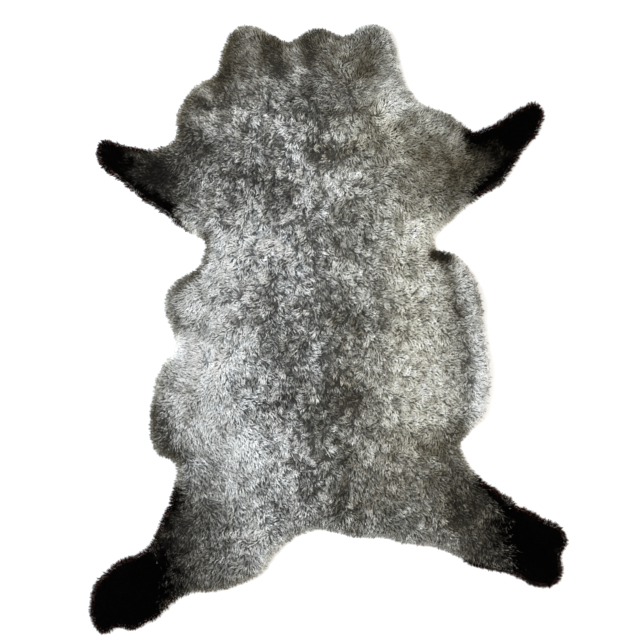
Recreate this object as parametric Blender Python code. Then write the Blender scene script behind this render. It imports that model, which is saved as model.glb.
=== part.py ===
"""A whole sheepskin with its wool on, lying flat on the floor with the wool up.

The pelt is one piece: a tanned skin, cut to the animal's own outline with its neck edge, forelegs and
hind legs, and the clipped wool that grows from it.  The solid's underside is the bare skin, flat on the
floor except where the rim ruffles and lifts.  Its top is the surface of the wool, with the lumps,
troughs and rolls in which the pelt lies, and its rim is a row of separate wool locks that hang past
the cut edge of the skin and come down to the floor.

+X is the pelt's right as seen from above with the neck away, +Y runs towards the neck, +Z is up.
Tables are in millimetres, the finished object is in metres.
"""

import math
import random
from collections import namedtuple

import bmesh
import bpy
import numpy as np
from mathutils import Vector, noise
from mathutils.geometry import delaunay_2d_cdt

MM = 0.001

# Driving dimensions, in millimetres
SKIN_THICKNESS = 1.8       # the tanned skin, seen as a step on the underside
SKIN_INSET = 13.0          # how far the cut edge of the skin stays inside the wool's outline
SKIN_BEVEL = 1.5           # slope of that cut edge
PILE_THICKNESS = 19.0      # wool surface above the skin, in the middle of the back
LEG_PILE_THICKNESS = 12.0  # the same at the feet, where the hair is short
PILE_LEAST = 0.35          # share of the wool's thickness that the deepest trough leaves
SHOULDER_WIDTH = 34.0      # over this distance from the outline the wool rises to its full thickness
LUMP_HEIGHT = 7.0          # unevenness of the wool surface
LUMP_LENGTH = 62.0
TUFT_HEIGHT = 7.5          # smaller tufts on top of the lumps
TUFT_LENGTH = 27.0

# The wool locks around the rim
LOCK_COUNT = 270
LOCK_REACH = 4.5           # how far a lock's tip passes the outline
LOCK_VALLEY = 5.0          # how far the gap between two locks cuts in behind the outline
FOOT_LOCK_VALLEY = 11.0    # the same at the feet, where the locks are longest
LOCK_RIDGE_INSET = 8.0     # where a lock's ridge meets the wool surface, behind the outline
GROOVE_SETBACK = 2.0       # and how much farther in the groove between two locks ends
LOCK_RIDGE = 1.6           # height of a lock's ridge, and depth of the groove beside it
LOCK_TIP_HEIGHT = 0.4      # the tips rest almost on the floor
LOCK_VALLEY_HEIGHT = 3.0
LOCK_SWAY = 5.0            # how far tips are combed towards the tail
VALLEY_SWAY = 0.6          # share of that sway which the gaps follow
RIM_LIFT = 0.6             # share of a ruffle's lift which the hanging locks follow
PLACE_SPREAD = 0.16        # unevenness of the locks' spacing, as a share of it
REACH_SPREAD = (0.6, 1.4)  # least and largest share of the reach, the gap's depth and the sway
VALLEY_SPREAD = (0.7, 1.2)
SWAY_SPREAD = (0.1, 0.9)
FOOT_START = 0.75          # share of a leg's length where its foot begins
FOOT_FULL = 0.95           # and where its locks are longest

# Distances between the points of the solid
CURVE_STEP = 2.0           # along the smooth outline
TANGENT_REACH = 6.0        # to each side, where its direction is measured
TOP_SPACING = 12.5         # over the wool surface
UNDER_SPACING = 22.0       # under a lifted rim
ROW_GAP = 0.4              # share of the spacing left clear beside the rim's own rows of points
POINT_GAP = 0.55           # share of the spacing left clear beside any point
FLAT_TOLERANCE = 1e-6
NECK_SHARE = 0.75          # an inset row stops where two rims come nearer than this share of it

# The outline of the wool, clockwise from the left of the neck.  across is to the right of the middle
# of the pelt and along is towards the neck.
Mark = namedtuple("Mark", "name across along")

NECK_EDGE = (
    Mark("neck, left base", -193, 432),
    Mark("neck, left side", -182, 470),
    Mark("left lobe, shoulder", -166, 506),
    Mark("left lobe, crest", -138, 520),
    Mark("left lobe, slope", -108, 507),
    Mark("left dip", -66, 490),
    Mark("middle lobe, rise", -37, 508),
    Mark("middle lobe, crest", -15, 514),
    Mark("right dip", 27, 500),
    Mark("right lobe, rise", 56, 515),
    Mark("right lobe, crest", 76, 521),
    Mark("right lobe, shoulder", 101, 508),
    Mark("neck, right side", 117, 465),
    Mark("neck, right base", 127, 424),
    Mark("right shoulder, slope", 155, 387),
    Mark("right shoulder", 206, 367),
    Mark("right shoulder, corner", 232, 346),
)
RIGHT_FORELEG = (
    Mark("upper crook", 244, 336),
    Mark("upper edge", 272, 345),
    Mark("upper edge, bend", 300, 360),
    Mark("ankle, upper side", 325, 379),
    Mark("toe, upper corner", 356, 389),
    Mark("toe", 369, 368),
    Mark("toe, lower corner", 357, 338),
    Mark("ankle, lower side", 326, 302),
    Mark("lower edge, bend", 296, 254),
    Mark("lower edge", 260, 233),
    Mark("lower edge, root", 200, 182),
)
RIGHT_FLANK = (
    Mark("armpit", 178, 158),
    Mark("mouth of the roll", 184, 135),
    Mark("roll, front corner", 210, 131),
    Mark("roll, front", 235, 109),
    Mark("roll, upper side", 254, 70),
    Mark("roll, middle", 264, 10),
    Mark("roll, widest", 274, -70),
    Mark("roll, lower side", 267, -136),
    Mark("roll, rear corner", 240, -174),
)
RIGHT_HIND_LEG = (
    Mark("stifle notch", 224, -194),
    Mark("front edge, root", 234, -226),
    Mark("front edge", 268, -263),
    Mark("front edge, shin", 358, -320),
    Mark("foot, front corner", 394, -336),
    Mark("foot, first toe", 408, -360),
    Mark("foot, cleft", 396, -384),
    Mark("foot, second toe", 399, -420),
    Mark("foot, rear corner", 380, -439),
    Mark("heel", 345, -433),
    Mark("rear edge, hock", 320, -417),
    Mark("rear edge", 279, -409),
    Mark("rear edge, thigh", 238, -396),
)
TAIL_EDGE = (
    Mark("right ham", 198, -374),
    Mark("right of the tail", 122, -361),
    Mark("tail, right dip", 90, -352),
    Mark("tail, right", 56, -353),
    Mark("tail", -18, -339),
    Mark("tail, left", -48, -346),
    Mark("left ham", -77, -365),
)
LEFT_HIND_LEG = (
    Mark("rear edge, thigh", -98, -389),
    Mark("rear edge, bend", -118, -415),
    Mark("rear edge", -185, -443),
    Mark("rear edge, hock", -248, -450),
    Mark("heel", -298, -491),
    Mark("foot, rear toe", -337, -511),
    Mark("foot, cleft", -359, -507),
    Mark("foot, front toe", -382, -521),
    Mark("foot, tip", -400, -509),
    Mark("foot, front side", -408, -475),
    Mark("foot, front corner", -397, -432),
    Mark("shin", -365, -402),
    Mark("front edge, hock", -305, -371),
    Mark("front edge", -286, -333),
    Mark("front edge, root", -260, -258),
)
LEFT_FLANK = (
    Mark("stifle notch", -263, -224),
    Mark("lower bulge, rear corner", -291, -210),
    Mark("lower bulge, rear", -303, -184),
    Mark("lower bulge, middle", -304, -133),
    Mark("lower bulge, front", -293, -86),
    Mark("lower bulge, front corner", -277, -52),
    Mark("dip", -259, -30),
    Mark("upper bulge, rear", -274, 20),
    Mark("upper bulge", -279, 48),
    Mark("upper bulge, front", -266, 78),
    Mark("upper bulge, front corner", -220, 110),
    Mark("armpit", -209, 150),
)
LEFT_FORELEG = (
    Mark("lower edge, root", -238, 168),
    Mark("lower edge", -321, 229),
    Mark("lower edge, ankle", -362, 261),
    Mark("toe, lower corner", -386, 277),
    Mark("toe", -399, 307),
    Mark("toe, upper corner", -386, 326),
    Mark("ankle, upper side", -347, 313),
    Mark("upper edge", -298, 307),
    Mark("upper crook", -262, 327),
)
LEFT_SHOULDER = (
    Mark("shoulder notch", -257, 348),
    Mark("shoulder, lower", -258, 368),
    Mark("shoulder", -232, 411),
    Mark("shoulder, upper corner", -206, 427),
)
OUTLINE = (
    NECK_EDGE
    + RIGHT_FORELEG
    + RIGHT_FLANK
    + RIGHT_HIND_LEG
    + TAIL_EDGE
    + LEFT_HIND_LEG
    + LEFT_FLANK
    + LEFT_FORELEG
    + LEFT_SHOULDER
)

# Rolls (rise above 0) and troughs (below 0) of the wool surface, each along a line of points.
Fold = namedtuple("Fold", "name half_width rise line")

FOLDS = (
    Fold("left lobe ridge", 24, 5.0, ((-140, 512), (-131, 441))),
    Fold("trough left of the middle lobe", 24, -9.0, ((-84, 494), (-100, 436))),
    Fold("middle lobe trough", 15, -8.0, ((-44, 496), (-30, 436))),
    Fold("middle lobe ridge", 20, 4.5, ((-10, 508), (-8, 452))),
    Fold("trough beside the right lobe", 20, -8.0, ((34, 494), (58, 440))),
    Fold("right lobe ridge", 24, 5.0, ((82, 512), (106, 424))),
    Fold("neck side trough, left", 14, -8.0, ((-172, 486), (-163, 432))),
    Fold("left shoulder trough", 16, -8.0, ((-202, 424), (-168, 384))),
    Fold("left foreleg trough", 14, -5.5, ((-250, 362), (-232, 322))),
    Fold("throat crease, left", 12, -6.0, ((-152, 366), (-112, 330), (-76, 298))),
    Fold("throat crease, across", 10, -6.0, ((-136, 294), (-70, 290), (-10, 284))),
    Fold("throat crease, right", 11, -7.0, ((140, 384), (112, 342))),
    Fold("right shoulder ridge", 20, 4.5, ((212, 348), (226, 306))),
    Fold("spine furrow", 17, -4.0, ((-14, 400), (-10, 290), (-20, 120), (-20, -10), (-6, -160), (0, -300))),
    Fold("shoulder wrinkle, front", 9, 4.0, ((20, 190), (110, 206))),
    Fold("shoulder wrinkle, second", 9, 4.0, ((0, 158), (130, 176))),
    Fold("shoulder wrinkle, third", 10, 4.2, ((-40, 124), (120, 142))),
    Fold("shoulder wrinkle, rear", 10, 3.8, ((-30, 86), (80, 108))),
    Fold("left wrinkle, front", 10, 3.6, ((-150, 250), (-60, 236))),
    Fold("left wrinkle, rear", 10, 3.6, ((-170, 196), (-70, 180))),
    Fold("flank roll groove, front", 14, -12.0, ((196, 120), (212, 86), (220, 30), (234, -30))),
    Fold("flank roll groove, rear", 14, -12.0, ((234, -30), (236, -94), (226, -160), (218, -190))),
    Fold("mouth of the roll", 13, -9.0, ((184, 124), (206, 120))),
    Fold("flank roll", 18, 6.0, ((228, 100), (249, 40), (261, -40), (259, -110), (246, -150))),
    Fold("left upper flank groove", 11, -9.0, ((-212, 144), (-226, 98), (-248, 62))),
    Fold("left upper flank ridge", 18, 4.5, ((-262, 62), (-262, 34))),
    Fold("left dip trough", 16, -7.0, ((-266, 14), (-206, 6))),
    Fold("left dip ridge", 19, 6.0, ((-252, -38), (-190, -46))),
    Fold("left lower flank groove", 13, -9.0, ((-292, -146), (-278, -190), (-256, -228))),
    Fold("left thigh trough", 15, -5.5, ((-228, -284), (-144, -296))),
    Fold("left ham pit", 13, -5.0, ((-204, -402), (-192, -424))),
    Fold("right thigh trough", 17, -7.5, ((198, -274), (212, -312), (232, -360))),
    Fold("right ham ridge", 20, 3.5, ((240, -300), (262, -360))),
)

# Where the ruffled rim holds the skin off the floor.
Lift = namedtuple("Lift", "name across along radius height")

LIFTS = (
    Lift("left neck lobe", -142, 514, 46, 7.0),
    Lift("middle neck lobe", -13, 514, 36, 5.0),
    Lift("right neck lobe", 82, 516, 48, 7.0),
    Lift("left shoulder", -240, 398, 44, 6.0),
    Lift("right shoulder", 212, 362, 36, 4.0),
    Lift("flank roll, front", 254, 58, 42, 6.0),
    Lift("flank roll, middle", 276, -60, 52, 8.0),
    Lift("flank roll, rear", 262, -146, 32, 5.0),
    Lift("left upper flank", -282, 48, 42, 7.0),
    Lift("left lower flank", -306, -128, 56, 6.0),
)

# Legs, from the joint with the body to the foot.
Leg = namedtuple("Leg", "name root foot half_width")

LEGS = (
    Leg("left foreleg", (-214, 262), (-394, 306), 62),
    Leg("right foreleg", (206, 262), (366, 384), 66),
    Leg("left hind leg", (-214, -352), (-396, -494), 70),
    Leg("right hind leg", (214, -330), (404, -404), 64),
)

WOOL_COLOUR = (0.25, 0.24, 0.22, 1.0)
WOOL_ROUGHNESS = 0.95
SHARP_ANGLE = math.radians(50)


def clear_scene():
    for old in list(bpy.data.objects):
        bpy.data.objects.remove(old)


def smooth_outline():
    """The closed outline through the marks, as points CURVE_STEP apart: a centripetal Catmull-Rom curve."""
    marks = np.array([(mark.across, mark.along) for mark in OUTLINE], float)
    count = len(marks)
    points = []
    for i in range(count):
        a, b, c, d = (marks[(i + k) % count] for k in (-1, 0, 1, 2))
        t1 = math.sqrt(np.linalg.norm(b - a))
        t2 = t1 + math.sqrt(np.linalg.norm(c - b))
        t3 = t2 + math.sqrt(np.linalg.norm(d - c))
        steps = max(4, round(np.linalg.norm(c - b) / CURVE_STEP))
        for t in np.linspace(t1, t2, steps, endpoint=False):
            ab = a + (b - a) * t / t1
            bc = b + (c - b) * (t - t1) / (t2 - t1)
            cd = c + (d - c) * (t - t2) / (t3 - t2)
            abc = ab + (bc - ab) * t / t2
            bcd = bc + (cd - bc) * (t - t1) / (t3 - t1)
            points.append(abc + (bcd - abc) * (t - t1) / (t2 - t1))
    return np.array(points)


class Rim:
    """The smooth outline, read by the distance along it."""

    def __init__(self, points):
        self.points = points
        closed = np.vstack([points, points[:1]])
        sides = np.linalg.norm(np.diff(closed, axis=0), axis=1)
        self.along = np.concatenate([[0.0], np.cumsum(sides)])
        self.closed = closed
        self.length = self.along[-1]

    def at(self, s):
        s = s % self.length
        return np.array([np.interp(s, self.along, self.closed[:, k]) for k in (0, 1)])

    def outward(self, s):
        """Unit vector out of the pelt: the outline runs clockwise, so outwards is to its left."""
        run = self.at(s + TANGENT_REACH) - self.at(s - TANGENT_REACH)
        run /= np.linalg.norm(run)
        return np.array([-run[1], run[0]])


def distances_to(points, line, closed=False):
    """Distance of each point from a line of straight pieces."""
    points = np.asarray(points, float).reshape(-1, 2)
    line = np.asarray(line, float)
    ends = np.vstack([line[1:], line[:1]]) if closed else line[1:]
    starts = line if closed else line[:-1]
    best = np.full(len(points), np.inf)
    for start, end in zip(starts, ends):
        side = end - start
        share = np.clip((points - start) @ side / max(side @ side, 1e-9), 0, 1)
        nearest = start + share[:, None] * side
        best = np.minimum(best, np.linalg.norm(points - nearest, axis=1))
    return best


def inside(points, polygon):
    """Whether each point lies inside the polygon, by counting crossings."""
    points = np.asarray(points, float).reshape(-1, 2)
    found = np.zeros(len(points), bool)
    x, y = points.T
    for (x0, y0), (x1, y1) in zip(polygon, np.roll(polygon, -1, axis=0)):
        crosses = (y0 > y) != (y1 > y)
        if y1 != y0:
            found ^= crosses & (x < x0 + (y - y0) * (x1 - x0) / (y1 - y0))
    return found


def bell(distance, half_width):
    """1 on a fold's line, falling smoothly to 0 at about twice its half width."""
    return np.exp(-((distance / half_width) ** 2) * math.log(2))


def lift(points):
    """Height of the skin's underside above the floor."""
    points = np.asarray(points, float).reshape(-1, 2)
    height = np.zeros(len(points))
    for row in LIFTS:
        distance = np.linalg.norm(points - (row.across, row.along), axis=1)
        share = np.clip(1 - distance / row.radius, 0, 1)
        height = np.maximum(height, row.height * share * share * (3 - 2 * share))
    return height


def leg_share(points, leg):
    """0 on the body, rising to 1 at the foot of this leg."""
    points = np.asarray(points, float).reshape(-1, 2)
    root, foot = np.array(leg.root, float), np.array(leg.foot, float)
    way = foot - root
    along = (points - root) @ way / (way @ way)
    beside = np.abs((points - root) @ np.array([-way[1], way[0]])) / np.linalg.norm(way)
    return np.where(beside < leg.half_width, np.clip(along, 0, 1), 0.0)


def pile_thickness(points, from_outline):
    """Thickness of the wool, full on the back, short on the lower legs and rounded off at the rim."""
    legs = np.max([leg_share(points, leg) for leg in LEGS], axis=0)
    full = PILE_THICKNESS + (LEG_PILE_THICKNESS - PILE_THICKNESS) * legs
    rise = np.clip(from_outline / SHOULDER_WIDTH, 0, 1)
    return full * np.sqrt(1 - (1 - rise) ** 2)


def lumps(points):
    """Unevenness of the wool: broad lumps with smaller tufts on them."""
    found = []
    for x, y in np.asarray(points, float).reshape(-1, 2):
        broad = noise.noise(Vector((x / LUMP_LENGTH, y / LUMP_LENGTH, 1.7)))
        tuft = noise.noise(Vector((x / TUFT_LENGTH, y / TUFT_LENGTH, 5.3)))
        found.append(LUMP_HEIGHT * broad + TUFT_HEIGHT * tuft)
    return np.array(found)


def wool_surface(points, outline):
    """Height of the wool's top surface above the floor."""
    from_outline = distances_to(points, outline, closed=True)
    height = pile_thickness(points, from_outline)
    settled = np.clip(from_outline / SHOULDER_WIDTH, 0, 1)
    relief = lumps(points)
    for fold in FOLDS:
        relief += fold.rise * bell(distances_to(points, fold.line), fold.half_width)
    wool = np.maximum(height + relief * np.sqrt(settled), PILE_LEAST * height)
    return lift(points) + SKIN_THICKNESS + wool


def lock_valley(point):
    """How far the gap beside a lock cuts in behind the outline: deepest at the feet."""
    share = max(float(leg_share(point, leg)[0]) for leg in LEGS)
    near_foot = np.clip((share - FOOT_START) / (FOOT_FULL - FOOT_START), 0, 1)
    return LOCK_VALLEY + (FOOT_LOCK_VALLEY - LOCK_VALLEY) * near_foot


def rim_locks(rim):
    """The locks around the rim.

    Returns the border of the solid, a tip and a gap in turn, as (across, along, height), and the points
    behind it on the wool surface, where each ridge and groove ends, as (across, along, rise)."""
    rng = random.Random(11)
    pitch = rim.length / LOCK_COUNT
    tailwards = np.array([0.0, -1.0])
    border, crests = [], []
    for i in range(LOCK_COUNT):
        s = (i + rng.uniform(-PLACE_SPREAD, PLACE_SPREAD)) * pitch
        root, out = rim.at(s), rim.outward(s)
        sway = LOCK_SWAY * rng.uniform(*SWAY_SPREAD) * (tailwards - out * (tailwards @ out))
        tip = root + out * LOCK_REACH * rng.uniform(*REACH_SPREAD) + sway
        border.append((*tip, LOCK_TIP_HEIGHT))
        inset = max(LOCK_RIDGE_INSET, lock_valley(root))
        crests.append((*(root - out * inset), LOCK_RIDGE))

        s += pitch / 2
        root, out = rim.at(s), rim.outward(s)
        depth = lock_valley(root)
        gap = root - out * depth * rng.uniform(*VALLEY_SPREAD) + VALLEY_SWAY * sway
        border.append((*gap, LOCK_VALLEY_HEIGHT))
        inset = max(LOCK_RIDGE_INSET, depth) + GROOVE_SETBACK
        crests.append((*(root - out * inset), -LOCK_RIDGE))
    return np.array(border), np.array(crests)


def skin_edge(rim):
    """The cut edge of the skin on the underside, as (across, along, height above the skin's underside)."""
    rows = ((SKIN_INSET - SKIN_BEVEL, SKIN_THICKNESS), (SKIN_INSET, 0.0))
    spots = np.arange(LOCK_COUNT) * rim.length / LOCK_COUNT
    edge = []
    for inset, height in rows:
        edge += [(*(rim.at(s) - rim.outward(s) * inset), height) for s in spots]
    return np.array(edge)


def honeycomb(polygon, spacing):
    """Points in staggered rows over the polygon's box."""
    low, high = polygon.min(axis=0), polygon.max(axis=0)
    rows = np.arange(low[1], high[1], spacing * math.sqrt(3) / 2)
    found = []
    for i, y in enumerate(rows):
        for x in np.arange(low[0] + (i % 2) * spacing / 2, high[0], spacing):
            found.append((x, y))
    return np.array(found)


def well_apart(points, others, least):
    """The points that keep at least this distance from the others and from each other."""
    kept = [np.array(p) for p in others]
    chosen = []
    for p in points:
        gaps = np.linalg.norm(np.array(kept) - p, axis=1)
        if gaps.min() >= least:
            kept.append(np.array(p))
            chosen.append(p)
    return np.array(chosen).reshape(-1, 2)


def triangles_within(ring_size, points, creases=()):
    """Triangles over the points, whose first ring_size are the closed border, with edges on the creases."""
    lines = [(i, (i + 1) % ring_size) for i in range(ring_size)]
    flat = [Vector((float(x), float(y))) for x, y in points]
    made = delaunay_2d_cdt(flat, lines + list(creases), [], 1, FLAT_TOLERANCE)
    where, faces, sources = made[0], made[2], made[3]
    names = [min(source) if source else None for source in sources]
    if None in names or len(where) != len(points):
        raise RuntimeError("the border or a crease crosses another")
    return [[names[k] for k in face] for face in faces]


def clear_of_rim(points, outline, border, least):
    """Which points lie inside the border and at least this far from the outline."""
    away = distances_to(points[:, :2], outline, closed=True) >= least
    return away & inside(points[:, :2], border)


def pelt_mesh():
    """Points and triangles of the closed solid: wool surface above and skin below, meeting at the rim."""
    outline = smooth_outline()
    rim = Rim(outline)
    ring, crests = rim_locks(rim)
    border = ring[:, :2]
    size = len(border)

    kept = clear_of_rim(crests, outline, border, NECK_SHARE * LOCK_RIDGE_INSET)
    ridges = [(i, size + k) for k, i in enumerate(np.flatnonzero(kept)) if i % 2 == 0]
    crests = crests[kept]
    grid = honeycomb(outline, TOP_SPACING)
    grid = grid[clear_of_rim(grid, outline, border, LOCK_RIDGE_INSET + ROW_GAP * TOP_SPACING)]
    grid = well_apart(grid, crests[:, :2], POINT_GAP * TOP_SPACING)
    top = np.vstack([crests[:, :2], grid])
    top_height = wool_surface(top, outline)
    top_height[: len(crests)] += crests[:, 2]

    edge = skin_edge(rim)
    edge = edge[clear_of_rim(edge, outline, border, NECK_SHARE * SKIN_INSET)]
    grid = honeycomb(outline, UNDER_SPACING)
    grid = grid[clear_of_rim(grid, outline, border, SKIN_INSET + ROW_GAP * UNDER_SPACING)]
    grid = grid[lift(grid) > 0]
    under = np.vstack([edge[:, :2], grid])
    under_height = lift(under)
    under_height[: len(edge)] += edge[:, 2]

    flat = np.vstack([border, top, under])
    height = np.concatenate([ring[:, 2] + RIM_LIFT * lift(border), top_height, under_height])
    top_faces = triangles_within(size, np.vstack([border, top]), ridges)
    under_faces = triangles_within(size, np.vstack([border, under]))
    under_faces = [[k if k < size else k + len(top) for k in face][::-1] for face in under_faces]

    middle = (flat.min(axis=0) + flat.max(axis=0)) / 2
    return np.column_stack([flat - middle, height]) * MM, top_faces + under_faces


def material(name, colour, roughness):
    made = bpy.data.materials.new(name)
    made.use_nodes = True
    shader = made.node_tree.nodes["Principled BSDF"]
    shader.inputs["Base Color"].default_value = colour
    shader.inputs["Roughness"].default_value = roughness
    shader.inputs["Metallic"].default_value = 0.0
    return made


def sheepskin():
    points, faces = pelt_mesh()
    mesh = bpy.data.meshes.new("sheepskin")
    mesh.from_pydata([tuple(p) for p in points], [], faces)
    mesh.update()
    mesh.materials.append(material("wool", WOOL_COLOUR, WOOL_ROUGHNESS))
    mesh.shade_smooth()
    mesh.set_sharp_from_angle(angle=SHARP_ANGLE)
    pelt = bpy.data.objects.new("sheepskin", mesh)
    bpy.context.scene.collection.objects.link(pelt)
    return pelt


clear_scene()
sheepskin()
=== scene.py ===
"""A whole sheepskin with its wool on, laid flat on a plain pale floor and seen from straight above.

The solid gives the pelt's outline and the height of its wool, lumps and folds included.  Over it come a
thin sheet of tanned skin, a dense under-wool painted dark as shade, and the wool itself: small tufts of
tapered strands, combed along a flow that turns outwards at the rim and runs along the legs.  The wool's
colours hold painted light on ridges and curls, and painted shade in valleys, folds, gaps and at the roots.
Lengths are in metres unless a comment says millimetres.  Lines and places of the tables are in
millimetres from the pelt's middle, across it to the right and along it towards the neck.
"""

import math
from collections import namedtuple

import bpy
import numpy as np
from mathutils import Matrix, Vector, noise
from mathutils.bvhtree import BVHTree
from mathutils.geometry import delaunay_2d_cdt
from mathutils.kdtree import KDTree


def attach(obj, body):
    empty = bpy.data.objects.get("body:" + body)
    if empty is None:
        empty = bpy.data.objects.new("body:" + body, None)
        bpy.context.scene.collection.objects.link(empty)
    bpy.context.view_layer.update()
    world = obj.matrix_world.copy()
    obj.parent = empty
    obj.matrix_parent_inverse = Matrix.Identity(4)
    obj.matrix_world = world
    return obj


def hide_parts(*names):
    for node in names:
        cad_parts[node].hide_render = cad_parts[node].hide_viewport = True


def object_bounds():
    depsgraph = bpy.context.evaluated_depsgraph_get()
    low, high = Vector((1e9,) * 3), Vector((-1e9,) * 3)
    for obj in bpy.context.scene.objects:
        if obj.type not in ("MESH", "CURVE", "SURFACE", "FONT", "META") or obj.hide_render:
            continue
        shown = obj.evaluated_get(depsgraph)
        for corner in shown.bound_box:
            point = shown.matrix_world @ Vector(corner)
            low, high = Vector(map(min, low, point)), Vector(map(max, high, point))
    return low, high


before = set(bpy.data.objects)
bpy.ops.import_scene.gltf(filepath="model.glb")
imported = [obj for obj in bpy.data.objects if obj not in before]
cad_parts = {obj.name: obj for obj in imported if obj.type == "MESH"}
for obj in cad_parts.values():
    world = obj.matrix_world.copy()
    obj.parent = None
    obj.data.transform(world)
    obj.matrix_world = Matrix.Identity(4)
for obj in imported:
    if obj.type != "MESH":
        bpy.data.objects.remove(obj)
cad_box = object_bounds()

MM = 0.001
SEED = 7
TINY = 1e-9

# The skin
SKIN_THICKNESS = 1.8 * MM
SKIN_INSET = 12.5 * MM        # its cut edge, inside the wool's outline
SKIN_SPACING = 14 * MM        # between the points of its mesh

# The surface of the wool
RIM_WIDTH = 9 * MM            # inside the outline, where the wool begins to roll down to the floor
RIM_REACH = 5 * MM            # outside it, where the wool's surface meets the floor
RIM_ROUNDNESS = 1.6
THINNEST_WOOL = 1.5 * MM
HIGHEST_LIFT = 12 * MM        # the skin lies nowhere higher off the floor
TANGENT_STEPS = 6             # points of the outline to each side, between which its direction is measured

# The under-wool
UNDER_WOOL_DEPTH = 0.30       # share of the wool's height that stands above it
UNDER_WOOL_INSET = 5 * MM
UNDER_WOOL_SPACING = 6 * MM
UNDER_WOOL_GAP = 0.4 * MM     # between it and the skin
UNDER_WOOL_THINNEST = 0.6 * MM
# The under-wool is painted dark as shade: its colour is the tufts' times this share
UNDER_WOOL_PAINTED_SHADE = 0.16       # its brightness, as a share of the tufts'

# The meshes of the skin and the under-wool
PLATE_RIM_SPACING = 4 * MM
PLATE_CLEARANCE = 0.6         # share of the spacing left clear inside their rim
PLATE_TOLERANCE = 1e-7
PLATE_SHARP_ANGLE = 60        # degrees
RING_TOLERANCE = 0.6 * MM     # a point of a line inside the outline may lie this much nearer to it

# Curls, the clumps into which tufts draw together
CURL_SPACING = 15 * MM
CURL_SCATTER = 0.24           # share of the spacing by which they stray from their rows
# Painted shade in the gap between two curls, and painted light on a curl's raised tip end with painted shade
# at its low root end
CURL_GAP = 2.4 * MM           # the dark gap between two curls fades over this
CURL_GAP_PAINTED_SHADE = -0.9
CURL_RISE = 1.5 * MM          # a curl's tip end stands this much above its middle
CURL_RISE_PAINTED_LIGHT = 0.4
CURL_REACH = 1.2              # both grow as far as this from its middle, in halves of the spacing
CURL_TURN = 18                # degrees, the spread of the ways that curls lie
CURL_SHADE = 0.32             # stops, the spread of their brightness
CURLY_BACK = 0.8              # how much stronger the curls are along the middle of the back
CURLY_BACK_WIDTH = 105        # half of that band, in millimetres
CURLY_BACK_LINE = ((-60, 400), (-10, 310), (-60, 180), (-40, 0), (10, -210))

# Tufts.  A spread is the least and the largest share that is drawn.
TUFT_SPACING = 2.3 * MM
TUFT_SCATTER = 0.25           # share of the spacing by which they stray from their rows
TUFT_RADIUS = 1.05 * MM
TUFT_GATHER = 0.40            # how far a tuft's tips draw together: 0 to a point, 1 not at all
TUFT_LEAN = 6.2 * MM          # how far the tips lie from the roots
TUFT_BEND = 0.9 * MM          # how far a tuft's middle stands off the straight line
TUFT_TURN = 21                # degrees, the spread of the ways that tufts lie
LEAN_SPREAD = (0.65, 1.35)
RADIUS_SPREAD = (0.75, 1.25)
SHADE_RELIEF = 1.5 * MM       # how much one stop of the table of shades lifts the wool,
RELIEF_LIMITS = (-1.6, 1.0)   # between these stops

# Tufts at the rim
RIM_TUFT_SPACING = 2 * MM
RIM_TUFT_INSETS = (0.8 * MM, 2.6 * MM, 5 * MM, 7.5 * MM)
RIM_TUFT_TURN = 24            # degrees, how unevenly they point outwards
RIM_TUFT_LEAN = 0.95          # of a body tuft's
RIM_TURN_SHARE = 0.25         # of the turn of curls and tufts that is left at the outline
# Painted shade on the wool that rolls down to the floor at the outline
RIM_PAINTED_SHADE = -0.50             # stops, how much darker the wool is at the outline
RIM_SHADE_WIDTH = 12 * MM
# On grey wool the rows over the body end at the first inset and those of the rim at the second.  On the
# black legs the body's rows go on to the second, and all of the rim's rows grow.
BODY_TUFT_INSET = 5 * MM
LEG_TUFT_INSET = 2 * MM
FULL_RIM_DARKNESS = 2.5       # they are complete where the hair is darker than 1 part in this
# Along this line the hair is sparse within a width of the outline
SPARSE_RIM = ((-400, 290), (-386, 270), (-262, 190), (-236, 164))
SPARSE_RIM_WIDTH = 10 * MM
SPARSE_RIM_SHARE = 0.85       # of the hair is gone at the outline itself

# The short dense black hair of the legs
FOOT_CALM = 0.9               # how much less it is curled and raised
FOOT_STRAIGHTNESS = 0.6       # how much less it is bent

# Strands, each a slim diamond from root to tip
STRANDS_PER_TUFT = 4
STRAND_WIDTH = 0.72 * MM
STRAND_TILT = 0.8             # radians, the most that its flat side is turned about its length
LENGTH_SPREAD = (0.7, 1.3)
WIDTH_SPREAD = (0.7, 1.3)
ROOT_INSET = 1.5 * MM         # roots lie at least this far inside the outline
ROOT_DEPTH = 0.42             # where strands leave the wool's mass, as a share of its height
DEPTH_SPREAD = (0.6, 1.1)
MIDDLE_PLACE = (0.40, 0.52)   # least and largest share of the way from root to tip
MIDDLE_RISE = (0.66, 0.84)    # and of the rise from root to tip
MIDDLE_SCATTER = 0.3 * MM
TIP_SCATTER = 0.45 * MM
TIP_RISE = (-2.2, 0.6)        # least and largest height over the wool's surface, in millimetres
LOWEST_TIP = (0.8, 3.0)       # and over the floor
LOWEST_POINT = 0.4 * MM
WOOL_PIECES = ("left_legs", "left_side", "left_back", "spine", "right_back", "right_side", "right_legs")

# Grey wool is light and dark tufts mixed: the share of each kind, its stops and their spread
Kind = namedtuple("Kind", "name share stops spread")

KINDS = (
    Kind("black", 0.20, -1.90, 0.50),
    Kind("grey", 0.26, -0.45, 0.35),
    Kind("white", 0.54, 0.46, 0.36),
)
# The table of shades, its painted light and shade included, also sets how much black is in the mix
BLACK_BY_SHADE = 0.16         # a stop lighter or darker means this much less or more black in the mix
BLACK_LIMITS = (0.04, 0.72)
WARM_CALM = 0.64              # how much less the wool varies where it is warmest
STRAND_SHADE = 0.42           # stops, the spread of the strands' brightness
HAIR_SHADE = 0.6              # and of the black hairs'

# Fine grid on which the pelt's shape is read
GRID_STEP = 2 * MM
GRID_MARGIN = 30 * MM

# Smooth noise over the pelt: how strong it is, the length of its patches, and a layer of its own
Noise = namedtuple("Noise", "strength length layer")

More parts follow.
